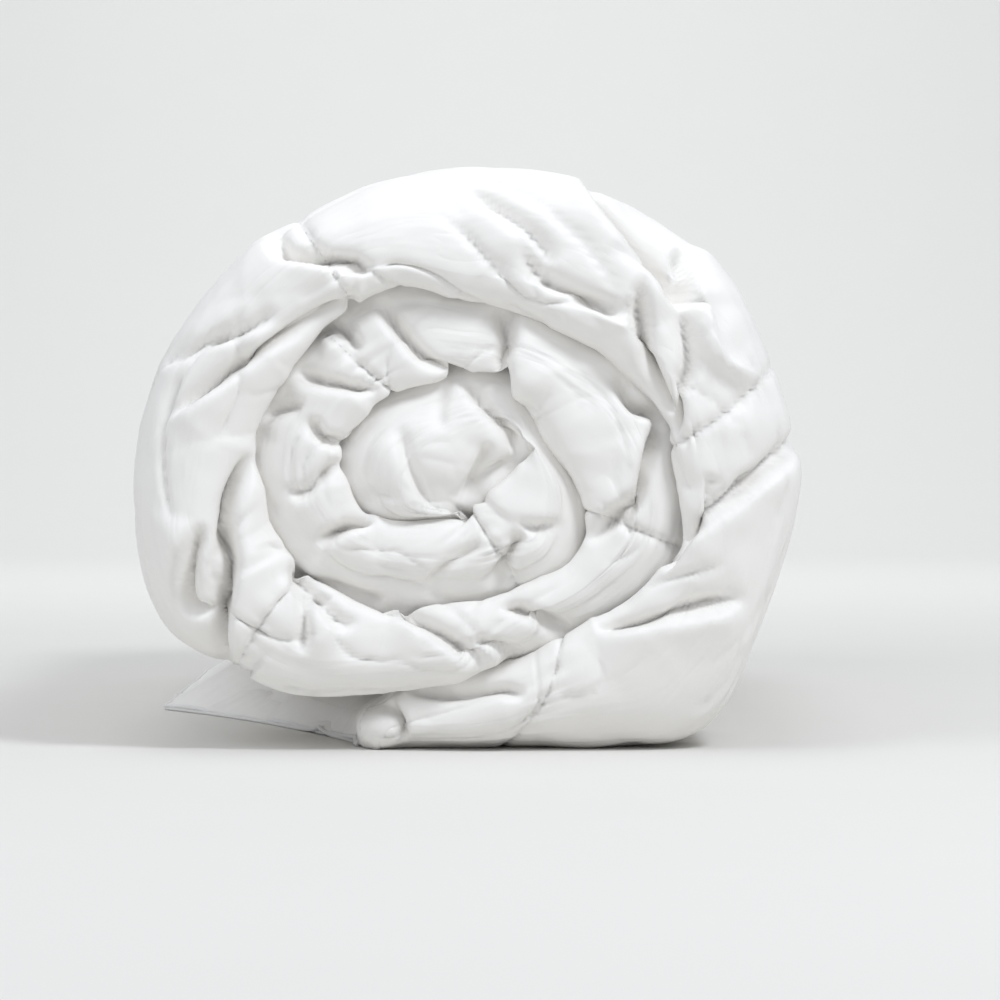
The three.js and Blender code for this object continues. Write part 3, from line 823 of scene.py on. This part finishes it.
# --- The duvet ---
CRISPNESS = 0.85  # how much the face's ridges and valleys are sharpened
CRISPNESS_REACH = 8  # passes over the surface that they are compared with
NORMAL_SMOOTHING = (6, 2)  # passes over the surface that the creases are pressed into
FLAP_TAUTNESS = 0.7  # share of the quilting that the thin flap lacks
FLAP_ENDS = (1.4, 0.7)  # k over which the flap takes over from the first box
FLAP_SHOWS = (1.2, 0.6)  # k over which both its sides come out from under the roll
ARM_SHOWS = (8.4, 8.0)  # k over which the outer arm comes out from under the turn outside it
FLOOR_GAP = 0.3  # under the cover where it lies on the floor
PIPING_RADIUS = 1.5
STITCH_LENGTH = 3.0
STITCH_SPACING = 4.6
STITCH_RADIUS = 0.35


def make_cover(material):
    """The cover. Returns its grid of points, with k and side, for what is sewn to it."""
    points, k, side = cover_grid()
    angle, depth = (np.broadcast_to(row, k.shape) for row in cover_rows())
    run = run_of(k)
    across = distances_along(points[COLUMNS // 4])[None, :]  # one column stands for all
    normal = grid_normals(smoothed(points, *NORMAL_SMOOTHING))
    exposed = np.maximum(rise(depth, 2 * FOLD, FOLD), rise(k, *ARM_SHOWS) * (angle == 0))
    exposed = np.maximum(exposed, rise(k, *FLAP_SHOWS))
    off_core = rise(k, CORE_START + 2, CORE_START)
    pressed = (quilting(k, side, points[..., 1], across) + crumpling(run, across)) * exposed
    pressed *= off_core * (1 - FLAP_TAUTNESS * rise(k, *FLAP_ENDS))
    pressed += arm_creases(points, run, angle, k) + flap_creases(points, run, angle, k)
    pressed += face_creases(points, run, across[0], angle, k)
    points = points - normal * pressed[..., None]
    points = as_cloth(points, side, run, across)
    normal = grid_normals(smoothed(points, *NORMAL_SMOOTHING))
    pressed = smoothed(front_creases(points, k), 1, 1)
    points = points - normal * pressed[..., None]
    blurred = smoothed(points, CRISPNESS_REACH, CRISPNESS_REACH)
    crisp = CRISPNESS * np.sin(angle) * off_core
    points = points + crisp[..., None] * (points - blurred)
    points[..., 2] = np.maximum(points[..., 2], FLOOR_GAP - AXIS_HEIGHT)
    faces = thinning_faces(COLUMNS, column_steps(depth[0]))
    uv = np.stack([run, np.broadcast_to(across, run.shape)], axis=-1)
    cover = make_mesh("cover", points.reshape(-1, 3), faces, material, uv.reshape(-1, 2))
    belongs(cover, "cover", "outer_cover")
    return points, k, side


LINING_COLUMNS = 221
LINING_HEM_STEP = 5.0  # between its rows near the hems
LINING_STEP = 60.0  # and elsewhere
LINING_SIDE = 0.04  # how far from the strip's middle each half of the lining lies
BINDING_STEP = 5.0


def make_inner_cover(material):
    """The duvet's other face, folded onto itself between the two arms. It shows only at the back."""
    near_hem = spaced(BACK, SHOULDER, LINING_HEM_STEP)
    arm = np.concatenate([near_hem, spaced(SHOULDER, FINE_DEPTH, LINING_STEP), [FINE_DEPTH]])
    depth = np.concatenate([arm, arm[::-1]])
    sign = np.concatenate([np.ones(len(arm)), -np.ones(len(arm))])
    k = np.interp(np.linspace(0, RUN_TABLE[-1], LINING_COLUMNS), RUN_TABLE, K_TABLE)
    k, depth = np.meshgrid(k, depth, indexing="ij")
    section = Section(k, depth)
    points = section.point(depth, sign * (HEM_SIDE - (HEM_SIDE - LINING_SIDE) * section.fullness))
    lining = make_mesh("lining", points.reshape(-1, 3), grid_faces(*points.shape[:2]), material)
    belongs(lining, "cover", "inner_cover")


def make_bindings(points, material):
    """The piping along the duvet's four sides."""
    for node, path in (
        ("side_piping_outer", points[::4, 0]),
        ("side_piping_inner", points[::4, -1]),
        ("foot_piping", points[0]),
        ("head_piping", points[-1]),
    ):
        length = distances_along(path)[-1]
        lifted = evenly(path, round(length / BINDING_STEP))
        lifted[:, 2] = np.maximum(lifted[:, 2], PIPING_RADIUS - AXIS_HEIGHT)
        belongs(make_tube(node.replace("piping", "binding"), lifted, PIPING_RADIUS, material), "piping", node)


def sample(grid, columns, rows):
    """A grid's values at places between its points."""
    i = np.clip(columns.astype(int), 0, grid.shape[0] - 2)
    j = np.clip(rows.astype(int), 0, grid.shape[1] - 2)
    u, v = (columns - i)[:, None], (rows - j)[:, None]
    near = grid[i, j] * (1 - u) + grid[i + 1, j] * u
    far = grid[i, j + 1] * (1 - u) + grid[i + 1, j + 1] * u
    return near * (1 - v) + far * v


def stitches_along(line, normals):
    """The points and faces of a row of stitches on a line."""
    run = distances_along(line)
    ahead = unit(np.gradient(line, axis=0))
    points, faces = [], []
    for middle in np.arange(STITCH_SPACING, run[-1], STITCH_SPACING):
        fields = (line, ahead, normals)
        place, way, up = (np.array([np.interp(middle, run, c) for c in field.T]) for field in fields)
        beside = np.cross(way, up) * STITCH_RADIUS
        high = up * STITCH_RADIUS
        first = len(points)
        points += [place - way * STITCH_LENGTH / 2, place + way * STITCH_LENGTH / 2]
        points += [place + beside, place + high, place - beside, place - high]
        for a, b in ((2, 3), (3, 4), (4, 5), (5, 2)):
            faces += [[first, first + b, first + a], [first + 1, first + a, first + b]]
    return points, faces


FOOT_STITCHES = 4  # columns in from the foot hem
LAST_SEEN_SIDE = -0.95  # beyond it a cross seam is out of sight


def make_stitching(points, k, side, material):
    """The stitches of the seams that can be seen, as one piece of thread work."""
    normals = grid_normals(points)
    depth = points[..., 1]
    rows = np.arange(k.shape[1])
    lines = []
    for seam in CROSS_SEAMS:
        shown = rows if seam[0] < STEPS_PER_TURN else rows[(depth[0] < FOLD) | (side[0] < 0)]
        shown = shown[side[COLUMNS // 2, shown] > LAST_SEEN_SIDE]
        columns = [np.interp(0, k[:, r] - seam_winding(seam, side[:, r]), np.arange(COLUMNS)) for r in shown]
        lines.append((np.array(columns), shown.astype(float)))
    outer_columns = np.nonzero(k[:, 0] < STEPS_PER_TURN)[0].astype(float)
    row_depth = cover_rows()[1]
    outer_arm = slice(0, np.argmin(row_depth))
    for seam in LONG_SEAMS:
        row = np.interp(-seam, -row_depth[outer_arm], rows[outer_arm])
        lines.append((outer_columns, np.full(len(outer_columns), row)))
    lines.append((np.full(len(rows), float(FOOT_STITCHES)), rows.astype(float)))
    all_points, all_faces = [], []
    for columns, at_rows in lines:
        line, line_normals = (sample(grid, columns, at_rows) for grid in (points, normals))
        new_points, new_faces = stitches_along(line, line_normals)
        all_faces += [[i + len(all_points) for i in face] for face in new_faces]
        all_points += new_points
    belongs(make_mesh("stitching", np.array(all_points), all_faces, material), "cover")


# --- What is inside ---
NEAR = 0.16  # side of the filling's inner face
FAR = 0.82  # and of its outer face
# Loops of (side, depth) round each body of down.
DOWN_LOOPS = {
    "outer_edge": [(NEAR, 430), (FAR, 430), (FAR, 600), (0.5, 670), (NEAR, 600)],
    "outer_middle": [(NEAR, 150), (FAR, 150), (FAR, 390), (NEAR, 390)],
    "fold": [
        (FAR, 112), (FAR, 75), (0.6, 50), (0, 42), (-0.6, 50), (-FAR, 75), (-FAR, 112),
        (-NEAR, 112), (-NEAR, 90), (NEAR, 90), (NEAR, 112),
    ],
    "inner_middle": [(-NEAR, 150), (-FAR, 150), (-FAR, 390), (-NEAR, 390)],
    "inner_edge": [(-NEAR, 430), (-FAR, 430), (-FAR, 600), (-0.5, 670), (-NEAR, 600)],
}
TAPE_TOP = 0.4  # side of a tape's seam edge, under the valley that its seam makes
TAPE_FOOT = 0.08  # and of its other edge
TAPE_LOOP = [
    (TAPE_TOP, 640), (TAPE_TOP, 75), (0.3, 52), (0, 46), (-0.3, 52), (-TAPE_TOP, 75), (-TAPE_TOP, 640),
    (-TAPE_FOOT, 640), (-TAPE_FOOT, 88), (TAPE_FOOT, 88), (TAPE_FOOT, 640),
]
HALF_TAPE = 0.4  # half a tape's thickness
ROW_MARGIN = 0.16  # k between a cross seam and the down
HEAD_MARGIN = 0.3  # k between the head hem and what is inside
DOWN_SECTIONS = 16
TAPE_SECTIONS = 320


def make_body_along(name, windings, slants, loop, material):
    """A body that carries a loop of (side, depth) along some windings. Slants add to k round the loop."""
    side, depth = np.array(loop, dtype=float).T
    k = np.asarray(windings)[:, None] + np.asarray(slants)[None, :]
    depth, side = (np.broadcast_to(values, k.shape) for values in (depth, side))
    return make_closed_body(name, Section(k, depth).point(depth, side), material)


def make_filling(materials):
    """The down in its boxes, and the tapes between them."""
    middles = [(outer + inner) / 2 for outer, inner in CROSS_SEAMS]
    starts = [HEM_AT_FOLD, *middles]
    ends = [*middles, HEAD - HEAD_MARGIN]
    for row, (start, end) in enumerate(zip(starts, ends), 1):
        windings = np.linspace(start + ROW_MARGIN, end - ROW_MARGIN, DOWN_SECTIONS)
        for part, loop in DOWN_LOOPS.items():
            name = f"filling_row{row}_{part}"
            body = make_body_along(name, windings, np.zeros(len(loop)), loop, materials["down"])
            belongs(body, "down", f"down_row{row}_{part}")
    for i, (seam, middle) in enumerate(zip(CROSS_SEAMS, middles), 1):
        half = np.interp(run_of(middle) + HALF_TAPE, RUN_TABLE, K_TABLE) - middle
        slants = [seam_winding(seam, side) - middle for side, _ in TAPE_LOOP]
        windings = [middle - half, middle + half]
        tape = make_body_along(f"cross_baffle_{i}", windings, slants, TAPE_LOOP, materials["tape"])
        belongs(tape, "tape", f"cross_tape_{i}")
    windings = np.linspace(HEM_AT_FOLD, HEAD - HEAD_MARGIN, TAPE_SECTIONS)
    for arm, sign in (("outer", 1), ("inner", -1)):
        for i, seam in enumerate(LONG_SEAMS, 1):
            low, high = seam - HALF_TAPE, seam + HALF_TAPE
            foot, top = TAPE_FOOT * sign, TAPE_TOP * sign
            loop = [(foot, low), (top, low), (top, high), (foot, high)]
            slants = np.zeros(len(loop))
            tape = make_body_along(f"long_baffle_{arm}_{i}", windings, slants, loop, materials["tape"])
            belongs(tape, "tape", f"long_tape_{arm}_{i}")


# --- The studio ---
SWEEP_FRONT = -6.0
SWEEP_BEND = 3.0  # where the floor starts to turn up into the backdrop
SWEEP_RADIUS = 2.0
SWEEP_TOP = 6.0
SWEEP_HALF_WIDTH = 6.0


def make_sweep():
    """A pale floor that turns up into the backdrop."""
    bend = np.linspace(0, math.pi / 2, 24)
    profile = [(SWEEP_FRONT, 0.0)]
    profile += [(SWEEP_BEND + SWEEP_RADIUS * math.sin(a), SWEEP_RADIUS * (1 - math.cos(a))) for a in bend]
    profile.append((SWEEP_BEND + SWEEP_RADIUS, SWEEP_TOP))
    points = [(x, y, z) for y, z in profile for x in (-SWEEP_HALF_WIDTH, SWEEP_HALF_WIDTH)]
    faces = [(2 * i, 2 * i + 1, 2 * i + 3, 2 * i + 2) for i in range(len(profile) - 1)]
    mesh = bpy.data.meshes.new("sweep")
    mesh.from_pydata(points, [], faces)
    mesh.polygons.foreach_set("use_smooth", [True] * len(mesh.polygons))
    mesh.uv_layers.new(name="cloth")
    mesh.materials.append(fabric(*BACKDROP_PAPER))
    sweep = bpy.data.objects.new("sweep", mesh)
    bpy.context.scene.collection.objects.link(sweep)


ROLL_MIDDLE = (0, 0, HEIGHT / 2)
BACKDROP_FOOT = (0, SWEEP_BEND + SWEEP_RADIUS, 0.4)
# Each light's place and target in metres, its size, its power in watts and its colour.
LIGHTS = {
    "key": ((1.2, -1.4, 2.1), ROLL_MIDDLE, 0.6, 32, (0.905, 0.945, 1.0)),
    "fill": ((-1.4, -1.3, 1.9), ROLL_MIDDLE, 1.4, 15, (0.905, 0.945, 1.0)),
    "overhead": ((-0.3, 0.0, 2.8), ROLL_MIDDLE, 1.2, 12, (0.95, 0.975, 1.0)),
    "backdrop": ((0, 2.2, 2.8), BACKDROP_FOOT, 3.0, 66, (0.91, 0.95, 1.0)),
}
WORLD_COLOR = (0.91, 0.945, 1.0, 1.0)
WORLD_STRENGTH = 0.5


def add_soft_light(name, place, target, size, power, color):
    """A square area light."""
    light = bpy.data.lights.new(name, "AREA")
    light.shape = "SQUARE"
    light.size = size
    light.energy = power
    light.color = color
    lamp = bpy.data.objects.new(name, light)
    lamp.location = place
    lamp.rotation_euler = (Vector(target) - lamp.location).to_track_quat("-Z", "Y").to_euler()
    bpy.context.scene.collection.objects.link(lamp)


def make_studio():
    """The floor, the lights and the light that comes from all round."""
    make_sweep()
    for name, light in LIGHTS.items():
        add_soft_light(name, *light)
    world = bpy.data.worlds.new("studio")
    world.use_nodes = True
    background = world.node_tree.nodes["Background"]
    background.inputs["Color"].default_value = WORLD_COLOR
    background.inputs["Strength"].default_value = WORLD_STRENGTH
    bpy.context.scene.world = world
    bpy.context.scene.view_settings.view_transform = "Standard"


CAMERA_DISTANCE = 2.1  # in front of the roll's outline
OUTLINE_DEPTH = 45 * MM  # where that outline is, behind the foremost point
VIEW_WIDTH = 615 * MM  # what the picture takes in at that depth
CAMERA_HEIGHT = 190 * MM
AIM = np.array([20, 0, 152]) * MM  # to the right of the axis, and above the floor
SENSOR = 36.0


def make_camera():
    """A camera in front of the roll's end, a little above its middle."""
    data = bpy.data.cameras.new("camera")
    data.sensor_width = SENSOR
    data.lens = SENSOR * CAMERA_DISTANCE / VIEW_WIDTH
    camera = bpy.data.objects.new("camera", data)
    outline = LOW[1] + OUTLINE_DEPTH
    camera.location = (AXIS[0] + AIM[0], outline - CAMERA_DISTANCE, LOW[2] + CAMERA_HEIGHT)
    aim = Vector((AXIS[0] + AIM[0], outline, LOW[2] + AIM[2]))
    camera.rotation_euler = (aim - camera.location).to_track_quat("-Z", "Y").to_euler()
    bpy.context.scene.collection.objects.link(camera)
    bpy.context.scene.camera = camera


# --- Everything ---
materials = {slot: fabric(*kind) for slot, kind in FABRICS.items()}
cover_points, cover_k, cover_side = make_cover(materials["cover"])
make_inner_cover(materials["cover"])
make_bindings(cover_points, materials["piping"])
make_stitching(cover_points, cover_k, cover_side, materials["piping"])
make_filling(materials)
make_studio()
make_camera()
